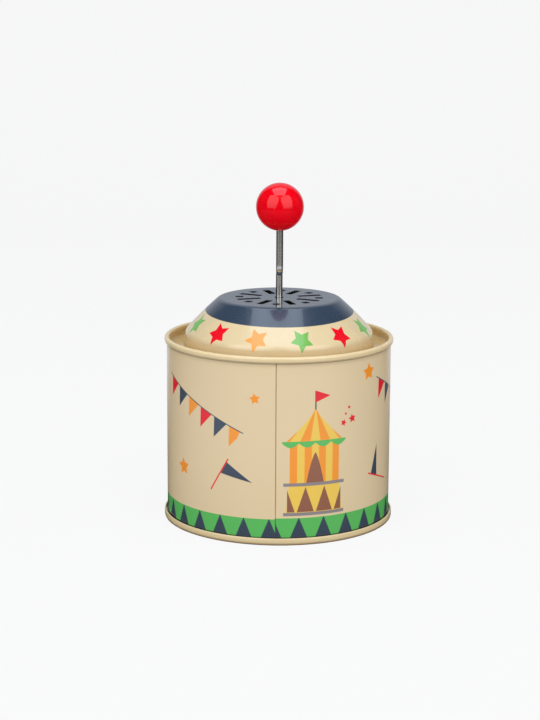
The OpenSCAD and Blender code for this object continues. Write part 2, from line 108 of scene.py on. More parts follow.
class Finish:  # one material, or the world, written as expressions
    def __init__(self, name, constants=None, tree=None):
        if tree is None:
            self.material = bpy.data.materials.new(name)
            self.material.use_nodes = True
            tree = self.material.node_tree
        self.tree = tree
        self.shader = tree.nodes.get("Principled BSDF")
        self.fill(self.shader, constants or {})

    def fill(self, node, inputs):  # a list fills the inputs in their order, a dictionary by name or number
        for key, value in (inputs.items() if isinstance(inputs, dict) else enumerate(inputs)):
            if isinstance(value, Value):
                self.tree.links.new(value.socket, node.inputs[key])
            else:
                node.inputs[key].default_value = value

    # Any node: its settings, then the numbers or links that go into it, and which output is wanted
    def add(self, kind, settings=None, inputs=(), out=0):
        node = self.tree.nodes.new(kind)
        for key, value in (settings or {}).items():
            setattr(node, key, value)
        self.fill(node, inputs)
        return Value(self, node.outputs[out])

    def paint(self, **channels):  # BaseColor=..., CoatWeight=... and so on
        for key, value in channels.items():
            name = "".join(" " + c if c.isupper() else c for c in key).strip()
            self.fill(self.shader, {name: value})
        return self

    def split(self, vector):
        parts = self.tree.nodes.new("ShaderNodeSeparateXYZ")
        self.fill(parts, [vector])
        return [Value(self, o) for o in parts.outputs]

    def space(self):  # object coordinates in mm
        place = self.add("ShaderNodeTexCoord", out="Object")
        return self.add("ShaderNodeVectorMath", {"operation": "SCALE"}, {0: place, "Scale": 1 / mm})

    def unrolled(self):  # the piece's own UV map, whose unit is mm or degrees
        return self.split(self.add("ShaderNodeUVMap", {"uv_map": "UVMap"}))

    def join(self, x=0.0, y=0.0, z=0.0):
        return self.add("ShaderNodeCombineXYZ", None, [x, y, z])

    def reach(self, x, y):  # distance from the origin of the plane
        return self.add("ShaderNodeVectorMath", {"operation": "LENGTH"}, [self.join(x, y)], out="Value")

    def noise(self, vector, size, detail):
        return self.add("ShaderNodeTexNoise", {"noise_dimensions": "3D"},
                        {"Vector": vector, "Scale": 1 / size, "Detail": detail, "Roughness": 0.55})

    def mix(self, factor, a, b):
        return self.add("ShaderNodeMix", {"data_type": "RGBA"}, {0: factor, 6: a, 7: b}, out=2)

    def over(self, colour, shape, tone):  # the shape printed over the colour
        return self.mix(inked(shape), colour, tone)

    def tint(self, colour, shade):  # the colour times a plain number
        grey = self.join(shade, shade, shade)
        return self.add("ShaderNodeMix", {"data_type": "RGBA", "blend_type": "MULTIPLY"},
                        {0: 1.0, 6: colour, 7: grey}, out=2)

    def bump(self, height, distance, strength):  # height times distance is the relief in mm
        return self.add("ShaderNodeBump", None,
                        {"Strength": strength, "Distance": distance * mm, "Height": height})

    def pick(self, share, colours):  # one of the colours, for a share that runs from 0 to 1
        ramp = self.add("ShaderNodeValToRGB", None, [share])
        stops = ramp.socket.node.color_ramp
        stops.interpolation = "CONSTANT"
        while len(stops.elements) < len(colours):
            stops.elements.new(1.0)
        for k, colour in enumerate(colours):
            stops.elements[k].position, stops.elements[k].color = k / len(colours), colour
        return ramp


# Share of ink at a signed distance in mm from a printed shape's edge, soft over a narrow width
def inked(distance, soft=0.16):
    return (0.5 - distance / soft).clamp()


# u and v moved to a shape's own origin and turned by an angle
def local(u, v, u0, v0, turn=0.0):
    c, s = math.cos(math.radians(turn)), math.sin(math.radians(turn))
    x = u.math("MULTIPLY_ADD", c, v.math("MULTIPLY_ADD", s, -(u0 * c + v0 * s)))
    y = u.math("MULTIPLY_ADD", -s, v.math("MULTIPLY_ADD", c, u0 * s - v0 * c))
    return x, y


# Distance from what several shapes have in common
def common(first, *others):
    for other in others:
        first = first.math("MAXIMUM", other)
    return first


# Distance from a five-pointed star: the angle is folded into a tenth of a turn, where one edge is left
def star(x, y, radius, turn):
    fifth = math.pi / 5
    notch = 0.52  # share of the radius at which the notches lie
    dx, dy = notch * radius * math.cos(fifth) - radius, notch * radius * math.sin(fifth)
    slant = math.atan2(-dx, dy)
    folded = (y.math("ARCTAN2", x) - math.radians(turn)).math("PINGPONG", fifth)
    return x.finish.reach(x, y) * (folded - slant).math("COSINE") - radius * math.cos(slant)


# Distance from a polygon with its corners in anticlockwise order: the farthest of its edges' half planes
def polygon(u, v, corners):
    spot = u.finish.join(u, v)
    edges = []
    for (x0, y0), (x1, y1) in zip(corners, corners[1:] + corners[:1]):
        length = math.hypot(x1 - x0, y1 - y0)
        nx, ny = (y1 - y0) / length, (x0 - x1) / length
        edges.append(u.finish.add("ShaderNodeVectorMath", {"operation": "DOT_PRODUCT"},
                                  [spot, (nx, ny, 0.0)], out="Value") - (nx * x0 + ny * y0))
    return common(*edges)


# Distance from the band between two values
def between(value, low, high):
    return abs(value - (low + high) / 2) - (high - low) / 2


# Distance from a straight stroke from one point to another
def stroke(u, v, start, end, width):
    length = math.hypot(end[0] - start[0], end[1] - start[1])
    turn = math.degrees(math.atan2(end[1] - start[1], end[0] - start[0]))
    x, y = local(u, v, (start[0] + end[0]) / 2, (start[1] + end[1]) / 2, turn)
    return common(abs(x) - length / 2, abs(y) - width / 2)


# Points of an arc: the centre plus the radius times cosine and sine of evenly spaced angles
def arc(centre, radius, start, end, steps):
    a = np.radians(np.linspace(start, end, steps + 1))
    return np.stack([centre[0] + radius * np.cos(a), centre[1] + radius * np.sin(a)], 1)


# One line through all the pieces given, with a point just before and after each straight stretch
def outline(*parts, lead=0.25):
    line = [np.atleast_2d(np.array(parts[0], float))]
    for part in parts[1:]:
        part = np.atleast_2d(np.array(part, float))
        a, b = line[-1][-1], part[0]
        gap = np.linalg.norm(b - a)
        if gap > 3 * lead:
            line.append(np.array([a + (b - a) * lead / gap, b - (b - a) * lead / gap]))
        line.append(part if gap > 1e-6 else part[1:])
    return np.vstack(line)


def alongLine(line):  # distance from the first point to each point
    return np.concatenate([[0], np.cumsum(np.linalg.norm(np.diff(line, axis=0), axis=1))])


# Profile turned about Z: radius and height of each point of the profile, at each azimuth;
# azimuth runs from the front, -Y, to the right, +X
def turned(profile, azimuths):
    a = np.radians(azimuths)[None, :]
    r, z = profile[:, :1], profile[:, 1:]
    return np.stack([r * np.sin(a), -r * np.cos(a), z + 0 * a], -1)


def shown(name, data):  # a new object in the scene
    thing = bpy.data.objects.new(name, data)
    bpy.context.scene.collection.objects.link(thing)
    return thing


def crossed(across, up):  # grid of pairs, one value from each list
    return np.stack(np.broadcast_arrays(across[None, :], up[:, None]), -1)


# One closed mesh from grids of points in mm, each with its UV grid and the material of its faces. Edges
# with more than the given angle between their faces are sharp.
def piece(name, grids, finishes, body, sharp):
    points, loops, unrolled, slots, count = [], [], [], [], 0
    for grid, uv, slotIndex in grids:
        rows, columns = grid.shape[:2]
        index = count + np.arange(rows * columns).reshape(rows, columns)
        quads = np.stack([index[:-1, :-1], index[:-1, 1:], index[1:, 1:], index[1:, :-1]], -1)
        points.append(grid.reshape(-1, 3))
        loops.append(quads.reshape(-1))
        unrolled.append(uv.reshape(-1, 2)[quads.reshape(-1) - count])
        slots.append(np.broadcast_to(slotIndex, quads.shape[:2]).reshape(-1))
        count += rows * columns
    loops, slots = np.concatenate(loops), np.concatenate(slots)
    mesh = bpy.data.meshes.new(name)
    mesh.vertices.add(count)
    mesh.vertices.foreach_set("co", (np.vstack(points) * mm).ravel())
    mesh.loops.add(len(loops))
    mesh.loops.foreach_set("vertex_index", loops)
    mesh.polygons.add(len(slots))
    mesh.polygons.foreach_set("loop_start", np.arange(len(slots)) * 4)
    mesh.polygons.foreach_set("material_index", slots.astype(np.int32))
    mesh.update(calc_edges=True)
    layer = mesh.uv_layers.new(name="UVMap")
    layer.data.foreach_set("uv", np.vstack(unrolled).ravel())
    work = bmesh.new()
    work.from_mesh(mesh)
    bmesh.ops.remove_doubles(work, verts=work.verts, dist=2e-6)
    bmesh.ops.recalc_face_normals(work, faces=work.faces)
    work.to_mesh(mesh)
    work.free()
    mesh.polygons.foreach_set("use_smooth", [True] * len(mesh.polygons))
    mesh.set_sharp_from_angle(angle=math.radians(sharp))
    for finish in finishes:
        mesh.materials.append(finish.material)
    shape = shown(name, mesh)
    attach(shape, body)
    print("made", name, len(mesh.polygons), "faces")
    return shape


inks = {
    "wallCream": ink(226, 203, 163),
    "lidCream": ink(219, 198, 156),
    "beadCream": ink(225, 202, 157),
    "navy": ink(50, 64, 82),
    "printNavy": ink(58, 71, 88),
    "green": ink(90, 187, 92),
    "leaf": ink(108, 178, 74),
    "red": ink(232, 6, 32),
    "orange": ink(246, 151, 40),
    "amber": ink(246, 147, 18),
    "yellow": ink(240, 200, 84),
    "brown": ink(146, 92, 68),
    "grey": ink(142, 132, 134),
    "shade": ink(98, 68, 26),
    "soot": ink(28, 30, 24),
    "troughShadeTone": ink(209, 178, 118),
    "dust": ink(150, 130, 105),
    "plateDark": ink(196, 188, 168),
    "plateLight": ink(214, 208, 192),
    "edgeDark": ink(10, 11, 15),
    "edgeLight": ink(26, 28, 36),
}

gloss = {
    "wallRough": 0.34,
    "lidRough": 0.21,
    "ripple": 0.24,  # mm, how uneven the sheet is over 3 cm
    "peel": 0.0016,  # mm, orange peel of the lacquer
    "mottle": 0.02,  # share by which the colour varies slowly, and from grain to grain
    "grain": 0.012,
    "dust": 0.25,  # how strongly the specks of dust show
}
lacquer = {"Coat Weight": 0.5, "Coat Roughness": 0.06}


# Lacquered print: slow mottling of the colour, a fine grain, and a sheet that isn't quite flat
def lacquered(finish, colour, rough, seed):
    place = finish.space()
    moved = finish.add("ShaderNodeVectorMath", {"operation": "ADD"}, [place, (seed, seed * 2.0, 0.0)])
    slow = finish.noise(moved, 22.0, 2.0)
    fine = finish.noise(moved, 0.35, 2.0)
    dust = ((finish.noise(moved, 1.1, 1.0) - 0.77) * 14.0).clamp() * gloss["dust"]
    colour = finish.tint(colour, 0.985 + gloss["mottle"] * slow + gloss["grain"] * fine)
    colour = finish.mix(dust, colour, inks["dust"])
    ripples = finish.noise(moved, 30.0, 1.0) * gloss["ripple"] + fine * gloss["peel"]
    return finish.paint(
        BaseColor=colour,
        Roughness=rough + 0.08 * slow + 0.05 * fine,
        Normal=finish.bump(ripples, 1.0, 1.0),
    )


wallPrint = {
    "bandRight": 11.55,  # top of the green band to the right and to the left of the seam
    "bandLeft": 11.1,
    "pointPitch": 12.79,  # degrees between two triangles of the band
    "pointStart": -1.26,
    "pointSlope": 0.416,
    "pointAbove": 0.3,  # how far the tips would reach over the band
    "repeat": 180.0,  # degrees after which the upper print comes again
    "firstTurn": -75.0,
    "amberStars": [(-47.4, 28.3, 3.9, 96.0), (-10.0, 62.6, 2.45, 98.0), (43.6, 70.8, 3.9, 92.0),
                   (72.0, 46.0, 3.6, 100.0)],  # along, up, radius and direction of one tip
    "redStars": [(33.6, 52.3, 2.0, 100.0), (29.0, 51.0, 1.55, 70.0)],
    "redDots": [(31.8, 57.4, 0.62), (30.1, 54.8, 0.5)],
    "pennants": [  # two ends of each stick, and the corners of its flag
        (((-21.7, 35.9), (-30.2, 21.6)), [(-25.3, 29.5), (-10.9, 26.5), (-22.5, 34.6)]),
        (((44.1, 26.4), (60.0, 20.9)), [(46.0, 25.4), (50.9, 23.9), (50.6, 38.2)]),
    ],
    "stick": 0.6,
    "buntings": [(-58.5, 66.5, 46.0), (51.0, 67.0, 32.0)],  # start and length of each cord
    "buntingTurn": -23.5,
    "flagPitch": 8.0,
    "flagHalf": 3.3,  # half width of a flag at the cord, and how fast it narrows
    "flagTaper": 0.40,
    "cordHalf": 0.22,
    "cordOver": 1.5,  # how far the cord goes on past its flags
    "seamHalf": 0.16,  # half width of the dark line at the seam
    "seamDark": 0.55,  # strength of the painted shade: the dark line along the seam's groove, the dark line in the gap under the rim, and the dark line in the groove at the foot
    "rimDark": 0.4,
    "footDark": 0.85,
    "footLine": 3.2,  # top of the painted shade in the groove at the foot
    "rimShade": 0.22,  # soft painted shadow about the gap under the rim, and how far it reaches
    "rimReach": 1.5,
}

tentPrint = {  # heights above the tent's foot, and half widths
    "place": (15.8, 12.6),
    "stand": (0.0, 14.0),
    "standHalf": 12.6,
    "standTaper": 0.10,
    "points": (1.5, 12.5),
    "pointsHalf": 12.0,
    "pointPitch": 8.3,
    "pointHalf": 3.7,
    "pointTop": 12.4,
    "pointTall": 10.8,
    "rails": (0.6, 13.4),
    "railHalf": 13.6,
    "railThick": 0.7,
    "wall": (14.0, 31.0),
    "wallHalf": 11.0,
    "wallStripe": 3.14,
    "door": (13.8, 27.0),
    "doorHalf": 3.9,
    "doorTall": 13.0,
    "doorCurve": 0.7,
    "roof": (31.0, 46.0),
    "roofHalf": 13.6,
    "roofCurve": 1.25,
    "roofStripe": 4.6,
    "stripeTip": 46.4,  # where the stripes of the roof would meet
    "hem": (31.2, 32.0),
    "hemHalf": 14.2,
    "scallop": 1.9,
    "scallopWide": 3.55,
    "pole": (45.3, 53.3),
    "poleHalf": 0.3,
    "flag": [(0.0, 48.4), (6.6, 51.0), (0.0, 53.4)],
}


# Two pennants on sticks, in mm from the front and above the table
def pennants(finish, s, v, colour):
    for stick, flag in wallPrint["pennants"]:
        colour = finish.over(colour, polygon(s, v, flag), inks["printNavy"])
        colour = finish.over(colour, stroke(s, v, *stick, wallPrint["stick"]), inks["red"])
    return colour


# A falling cord with plain flags in three colours hanging from it: a flag's half width shrinks evenly
# with the depth below the cord
def bunting(finish, s, v, colour, u0, v0, length):
    w = wallPrint
    x, y = local(s, v, u0, v0, w["buntingTurn"])
    number = (x / w["flagPitch"]).math("FLOOR")
    across = abs(x - (number + 0.5) * w["flagPitch"])
    inside = between(x, 0.0, length)
    flag = common(across - w["flagHalf"] - w["flagTaper"] * y, y, inside)
    flagInk = finish.pick(number.math("MODULO", 3.0) / 3.0 + 0.1,
                          [inks["red"], inks["printNavy"], inks["orange"]])
    colour = finish.over(colour, flag, flagInk)
    cord = common(abs(y) - w["cordHalf"], inside - w["cordOver"])
    return finish.over(colour, cord, inks["printNavy"])


# A striped tent with a flag, on a round stand. The roof's edge is a power curve of the height, and its
# stripes run to the tip; the door narrows upwards, and the hem is a row of half sine waves.
def tent(finish, s, v, colour):
    t = tentPrint
    x, y = local(s, v, *t["place"])
    side = abs(x)
    foot, tip = t["roof"]
    low, high = t["door"]
    wave = t["scallop"] * abs((x / t["scallopWide"] * math.pi / 2).math("SINE"))
    roofEdge = t["roofHalf"] * ((tip - y) / (tip - foot)).clamp() ** t["roofCurve"]
    doorEdge = t["doorHalf"] * ((high - y) / t["doorTall"]).clamp() ** t["doorCurve"]
    spread = (t["stripeTip"] - y) / (tip - foot)
    roofStripe = (x / spread / t["roofStripe"] + 40.5).math("FLOOR").math("MODULO", 2.0)
    wallStripe = (x / t["wallStripe"] + 40.5).math("FLOOR").math("MODULO", 2.0)
    half = t["pointPitch"] / 2
    point = (side - half).math("PINGPONG", half) - t["pointHalf"] * ((t["pointTop"] - y) / t["pointTall"])
    for shape, tone in (
        (common(side - t["wallHalf"], between(y, *t["wall"])),
         finish.mix(wallStripe, inks["yellow"], inks["orange"])),
        (common(side - doorEdge, between(y, low, high)), inks["brown"]),
        (common(side - roofEdge, foot - y, y - tip),
         finish.mix(roofStripe, inks["yellow"], inks["orange"])),
        (common(side - t["hemHalf"], y - t["hem"][1], t["hem"][0] - y - wave), inks["green"]),
        (common(side - t["standHalf"] + t["standTaper"] * y, between(y, *t["stand"])), inks["yellow"]),
        (common(point, side - t["pointsHalf"], between(y, *t["points"])), inks["brown"]),
        (common(side - t["railHalf"], abs(between(y, *t["rails"])) - t["railThick"]), inks["grey"]),
        (common(side - t["poleHalf"], between(y, *t["pole"])), inks["printNavy"]),
        (polygon(x, y, t["flag"]), inks["red"]),
    ):
        colour = finish.over(colour, shape, tone)
    return colour


# Print of the wall, in mm: u runs round from the seam, s from the front and again from the back, v upwards
def wallFinish():
    w = wallPrint
    finish = Finish("printedWall", lacquer)
    u, v, _ = finish.unrolled()
    turn = u / mmPerDegree + tin["seamTurn"]  # degrees to the right of the front
    first, repeat = w["firstTurn"], w["repeat"]
    s = turn.math("WRAP", first + repeat, first) * mmPerDegree
    colour = inks["wallCream"]
    for names, tint in (("amberStars", "amber"), ("redStars", "red")):
        for u0, v0, radius, tip in w[names]:
            x, y = local(s, v, u0, v0)
            colour = finish.over(colour, star(x, y, radius, tip), inks[tint])
    for u0, v0, radius in w["redDots"]:
        away = finish.add("ShaderNodeVectorMath", {"operation": "DISTANCE"},
                          [finish.join(s, v), (u0, v0, 0.0)], out="Value")
        colour = finish.over(colour, away - radius, inks["red"])
    colour = pennants(finish, s, v, colour)
    for u0, v0, length in w["buntings"]:
        colour = bunting(finish, s, v, colour, u0, v0, length)
    colour = tent(finish, s, v, colour)
    # the band is printed from edge to edge of the sheet, so its ends don't quite meet at the seam
    share = u / (360 * mmPerDegree)
    top = w["bandRight"] + (w["bandLeft"] - w["bandRight"]) * share
    colour = finish.over(colour, v - top, inks["green"])
    pitch = w["pointPitch"] * mmPerDegree
    across = (u - w["pointStart"] * mmPerDegree).math("PINGPONG", pitch / 2)
    point = across - w["pointSlope"] * (top + w["pointAbove"] - v)
    colour = finish.over(colour, common(point, v - top), inks["printNavy"])
    # painted shade: a dark line along the seam's groove and in the gap under the rim, and a soft painted
    # shadow below the rim
    gap = u.math("PINGPONG", 180 * mmPerDegree)
    colour = finish.mix(inked(gap - w["seamHalf"], 0.24) * w["seamDark"], colour, inks["shade"])
    rim = wallMesh["gapHeight"]
    colour = finish.mix(inked(rim - v, 0.3) * w["rimDark"], colour, inks["shade"])
    shade = (1.0 - abs(v - rim) / w["rimReach"]).clamp() * w["rimShade"]
    colour = finish.mix(shade, colour, inks["shade"])
    # painted shade: a dark line in the groove between the wall and the foot's bead
    colour = finish.mix(inked(v - w["footLine"], 0.35) * w["footDark"], colour, inks["soot"])
    return lacquered(finish, colour, gloss["wallRough"], 3.0)


lidPrint = {  # on the flat disc of tinplate, before it is pressed
    "edge": 34.2,  # radius at which the navy ends
    "edgeShift": (0.25, 2.3),  # each ink sits off centre, to the right and towards the front
    "starRing": 40.6,
    "starRadius": 5.8,
    "starPitch": 30.4,
    "starTurn": -0.4,
    "starTilt": 0.155,  # radians by which each star leans, and how much more or less on either side
    "tiltSwing": 0.06,
    "starShift": (0.45, 2.6),
    "pool": 0.8,  # how strong the painted shade in the trough is
    "troughShadeTop": 79.6,
    "troughShadeDepth": 3.0,
    "order": ["leaf", "red", "orange", "leaf", "red", "leaf", "orange", "red", "leaf", "orange", "red",
              "orange"],  # inks of the stars, round the lid
}


# The lid's UV map is that flat disc, in mm, so the stars are plain ones and the press draws them out
def lidFinish():
    p = lidPrint
    finish = Finish("printedLid", lacquer)
    u, v, _ = finish.unrolled()

    def polar(shift):  # radius, and degrees to the right of the front, about the shifted middle
        right, front = u - shift[0], -shift[1] - v
        return finish.reach(right, front), right.math("ARCTAN2", front) * (180 / math.pi)

    radius, turn = polar(p["starShift"])
    count = (turn - p["starTurn"]) / p["starPitch"]
    number = (count + 6.0).math("FLOOR")
    across = (count + 5.5 - number) * math.radians(p["starPitch"]) * radius
    along = p["starRing"] - radius
    tilt = p["starTilt"] - p["tiltSwing"] * (turn * (math.pi / 180)).math("SINE")
    cosine, sine = tilt.math("COSINE"), tilt.math("SINE")
    shape = star(across * cosine - along * sine, along * cosine + across * sine,
                 p["starRadius"], -90.0)
    share = ((number - 3.0).math("WRAP", 12.0, 0.0) + 0.5) / 12.0
    starInk = finish.pick(share, [inks[name] for name in p["order"]])
    _, _, height = finish.split(finish.space())
    # painted shade: the cream turns darker and warmer down in the trough
    pool = ((p["troughShadeTop"] - height) / p["troughShadeDepth"]).clamp() * p["pool"]
    colour = finish.over(finish.mix(pool, inks["lidCream"], inks["troughShadeTone"]), shape, starInk)
    middle, _ = polar(p["edgeShift"])
    colour = finish.over(colour, middle - p["edge"], inks["navy"])
    return lacquered(finish, colour, gloss["lidRough"], 11.0)


beadPrint = {
    "pool": 0.9,  # how strong the painted shade inside the rim is, within this radius
    "troughShadeRadius": 48.9,
    "troughShadeTop": 80.4,
    "footShade": 0.95,  # how dark the painted shade on the foot is where it meets the table, and how high it reaches
    "footShadeHeight": 1.3,
    "dull": 0.04,  # and how much painted shade darkens the rest of the foot's bead
}


# Curled edges: painted shade darkens and warms the inside of the rim, and painted shade darkens the foot
# where it meets the table
def beadFinish():
    finish = Finish("creamEdge", lacquer)
    x, y, z = finish.split(finish.space())
    b = beadPrint
    upper = (z / 40.0 - 1.0).clamp()
    pool = ((b["troughShadeRadius"] - finish.reach(x, y)) * 2.5).clamp() * ((b["troughShadeTop"] - z) * 1.2).clamp() * upper
    dull = ((wallPrint["footLine"] - z) * 9.0).clamp() * b["dull"]
    footShade = (1.0 - z / b["footShadeHeight"]).clamp() ** 0.9 * b["footShade"] + dull
    colour = finish.mix(pool * b["pool"], inks["beadCream"], inks["troughShadeTone"])
    return lacquered(finish, finish.mix(footShade, colour, inks["shade"]), gloss["wallRough"], 7.0)


# Inside of the tin: clear lacquer over bright plate, with the long grain of rolled steel
def plateFinish():
    finish = Finish("bareTinplate", {"Coat Weight": 0.2, "Coat Roughness": 0.2})
    x, y, z = finish.split(finish.space())
    grain = finish.noise(finish.join(x * 6.0, y * 0.12, z * 0.12), 1.0, 3.0)
    cloud = finish.noise(finish.space(), 9.0, 3.0)
    colour = finish.mix(cloud, inks["plateDark"], inks["plateLight"])
    return finish.paint(BaseColor=finish.tint(colour, 0.94 + 0.1 * grain), Metallic=0.82 + 0.1 * cloud,
                        Roughness=0.3 + 0.14 * grain, Normal=finish.bump(grain, 0.01, 0.4))


wallMesh = {
    "low": 1.2,
    "high": 79.0,
    "gapHeight": 77.4,  # where the wall goes into the rim
    "groove": 0.34,  # depth and half width of the groove at the seam
    "grooveHalf": 0.17,
    "step": 0.10,  # how much deeper the sheet lies to the left of the seam, and how far that reaches
    "stepReach": 4.0,
    "fade": 0.8,  # height above the foot's joint over which the groove deepens
    "fine": 0.6,  # how far from the seam the mesh is finest, and how far it is finer than all round
    "close": 5.5,
}


# The sheet rolled into a ring. Going round, the radius dips by a narrow bell at the seam, and just left of
# it the sheet lies a little deeper and comes back up over a few mm.
def makeWall():
    w = wallMesh
    near = np.concatenate([np.linspace(0, w["fine"], 13), np.geomspace(w["fine"] + 0.1, w["close"], 12)])
    far = np.linspace(w["close"], 360 * mmPerDegree - w["close"], 300)[1:-1]
    around = np.concatenate([near, far, 360 * mmPerDegree - near[::-1]])
    left = 360 * mmPerDegree - around
    gap = np.minimum(around, left)
    dip = w["groove"] * np.exp(-(gap / w["grooveHalf"]) ** 2)
    dip = dip + w["step"] * np.clip(1 - left / w["stepReach"], 0, 1) ** 2 * (gap > 0)
    heights = np.linspace(w["low"], w["high"], 12)
    azimuth = around / mmPerDegree + tin["seamTurn"]
    fade = np.clip((heights - tin["seamHeight"]) / w["fade"], 0, 1)[:, None]
    outside = np.full(len(heights), tin["wallRadius"])
    outer = turned(np.stack([outside, heights], 1), azimuth)
    outer[..., :2] *= (1 - fade * dip / tin["wallRadius"])[..., None]
    inside = np.full(len(heights), tin["wallRadius"] - tin["sheet"])
    inner = turned(np.stack([inside, heights[::-1]], 1), azimuth)
    grid = np.concatenate([outer, inner, outer[:1]])
    levels = np.concatenate([heights, heights[::-1], heights[:1]])
    uv = crossed(around, levels)
    face = np.where(np.arange(len(grid) - 1) < len(heights) - 1, 0, 1)[:, None]
    wall = piece("tinWall", [(grid, uv, face)], [wallPaint, plateInside], "tin", 60)
    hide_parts("body_wall")


lid = {
    "slots": 8,  # long ones, with as many short ones between
    "troughHeight": 76.0,
    "troughRound": 0.8,
    "shoulderRadius": 40.99,
    "shoulderRound": 3.6,
    "slopes": (41.0, 49.2),  # of the cone's slightly rounded side, at its top and at its foot
    "coneRound": 128.0,
    "plateHeight": 97.0735,
    "plateRound": 3.2,
    "holeRadius": 2.0,
    "slotHalf": 1.5,
    "slotCorner": 0.5,
    "longSlot": (8.7, 19.0),
    "shortSlot": (15.7, 19.0),
    "rolled": 0.14,  # rounding of the slots' edges
    "slotTurn": -4.0,  # turn of the whole ring of slots
    "longSector": 27.0,  # degrees of the flat top that a long slot's mesh takes, and a short one's
    "shortSector": 18.0,  # the two together are the pitch of the slots
    "column": 1.5,  # degrees between two columns of the mesh
}
# where the flat top ends, so that the three arcs that follow reach the shoulder's radius
lid["flatRadius"] = (lid["shoulderRadius"] - lid["shoulderRound"]
                     + (lid["coneRound"] - lid["plateRound"]) * math.sin(math.radians(lid["slopes"][0]))
                     - (lid["coneRound"] - lid["shoulderRound"]) * math.sin(math.radians(lid["slopes"][1])))


# The lid's sheet from the flat top to the rim, sunk below its outer face. Each bend is an arc, and so is
# the cone: the three outer arcs follow each other without a corner.
def sheetLine(sunk):
    r, d = lid["shoulderRadius"], lid
    steep = np.radians(d["slopes"])
    (sine0, sine1), (cosine0, cosine1) = np.sin(steep), np.cos(steep)
    height = d["plateHeight"] - d["plateRound"]
    cone = (d["flatRadius"] - (d["coneRound"] - d["plateRound"]) * sine0,
            height - (d["coneRound"] - d["plateRound"]) * cosine0)
    foot = d["coneRound"] - d["shoulderRound"]
    t, low = d["troughRound"], d["troughHeight"]
    return outline(
        arc((d["flatRadius"], height), d["plateRound"] - sunk, 90, 90 - d["slopes"][0], 14),
        arc(cone, d["coneRound"] - sunk, 90 - d["slopes"][0], 90 - d["slopes"][1], 12),
        arc((cone[0] + foot * sine1, cone[1] + foot * cosine1), d["shoulderRound"] - sunk,
            90 - d["slopes"][1], 0, 12),
        arc((r + t, low + t), t + sunk, 180, 270, 8),
        arc((tin["panelRadius"] - t, low + t), t + sunk, 270, 360, 8))


# One sector of the flat top with its slot: rings of points run from the sector's border to the slot's
# outline, over its rolled edge and back along the underside. Each side of the slot answers to one side
# of the sector.
def plateSector(centre, width, slotEnds):
    d = lid
    x0, x1 = slotEnds
    steps = (24, round(width / d["column"]), 24, 10)

    def slotRing(grow):
        c, w = d["slotCorner"] + grow, d["slotHalf"] + grow
        corners = [(x0 - grow + c, -w + c, 180), (x1 + grow - c, -w + c, 270),
                   (x1 + grow - c, w - c, 0), (x0 - grow + c, w - c, 90)]
        ring = []
        for k in range(4):
            (ax, ay, a0), (bx, by, b0) = corners[k], corners[(k + 1) % 4]
            first = arc((ax, ay), c, a0 + 45, a0 + 90, 3)
            last = arc((bx, by), c, b0, b0 + 45, 3)
            middle = np.linspace(first[-1], last[0], steps[k] - 5)[1:-1]
            ring.append(np.vstack([first, middle, last])[:-1])
        return np.vstack(ring + [ring[0][:1]])

    half = width / 2
    sides = [(np.linspace(d["holeRadius"], d["flatRadius"], steps[0] + 1), -half),
             (d["flatRadius"], np.linspace(-half, half, steps[1] + 1)),
             (np.linspace(d["flatRadius"], d["holeRadius"], steps[2] + 1), half),
             (d["holeRadius"], np.linspace(half, -half, steps[3] + 1))]
    border = []
    for reach, turn in sides:
        reach, turn = np.broadcast_arrays(reach, np.radians(turn))
        border.append(np.stack([reach * np.cos(turn), reach * np.sin(turn)], 1)[:-1])
    border = np.vstack(border + [border[0][:1]])
    roll = d["rolled"]
    rings = [(border, 0), ((border + slotRing(0.4)) / 2, 0), (slotRing(roll * 2.2), 0), (slotRing(roll), 0),
             (slotRing(roll * 0.3), -roll * 0.3), (slotRing(0), -roll), (slotRing(0), -tin["sheet"]),
             (slotRing(0.4), -tin["sheet"]), (border, -tin["sheet"])]
    grid = np.stack([np.column_stack([p, np.full(len(p), d["plateHeight"] + drop)]) for p, drop in rings], 1)
    a = math.radians(centre)
    x, y = grid[..., 0].copy(), grid[..., 1].copy()
    grid[..., 0] = x * math.sin(a) + y * math.cos(a)
    grid[..., 1] = -x * math.cos(a) + y * math.sin(a)
    return grid, grid[..., :2], np.repeat([0, 3, 1], [4, 2, 2])[None, :]


